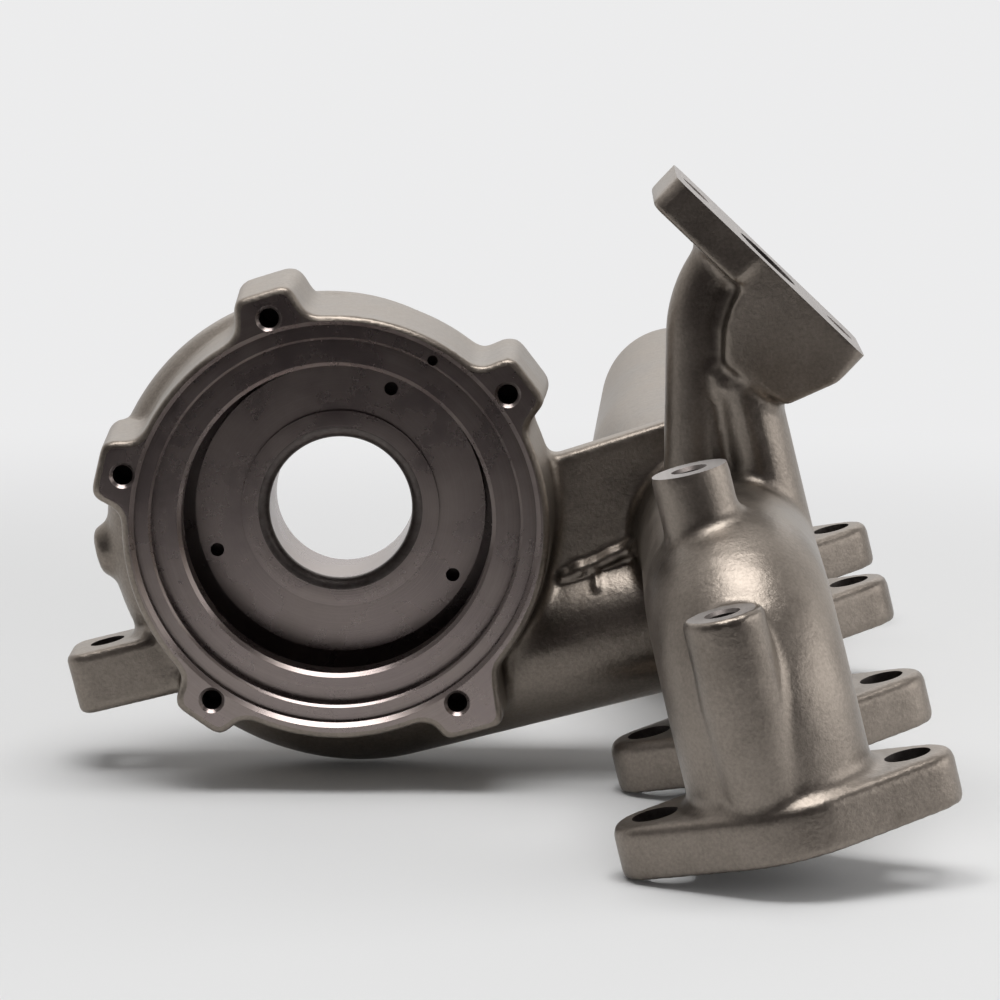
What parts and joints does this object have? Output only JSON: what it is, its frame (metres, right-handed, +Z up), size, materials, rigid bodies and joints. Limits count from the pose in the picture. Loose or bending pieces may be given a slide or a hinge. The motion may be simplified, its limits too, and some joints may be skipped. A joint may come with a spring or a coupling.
{
  "type": "turbocharger turbine housing",
  "caption": "Cast turbocharger turbine housing made in one piece with its exhaust manifold, a machined flange for the bearing housing and a branch for exhaust gas recirculation.",
  "frame": {"origin": "turbine axis where the straight wall of the wheel bore begins, behind the nozzle recess", "axes": "-Y along the turbine axis towards the bearing housing; the casting lies on a bench, its head face turned 13.8 degrees about Y from level, with Z up"},
  "size_m": [0.221, 0.3765, 0.1582],
  "materials": {
    "casting": "shot-blasted casting, machined on the faces and bores"
  },
  "bodies": {
    "root": {"turbine_housing": "casting"}
  },
  "joints": []
}
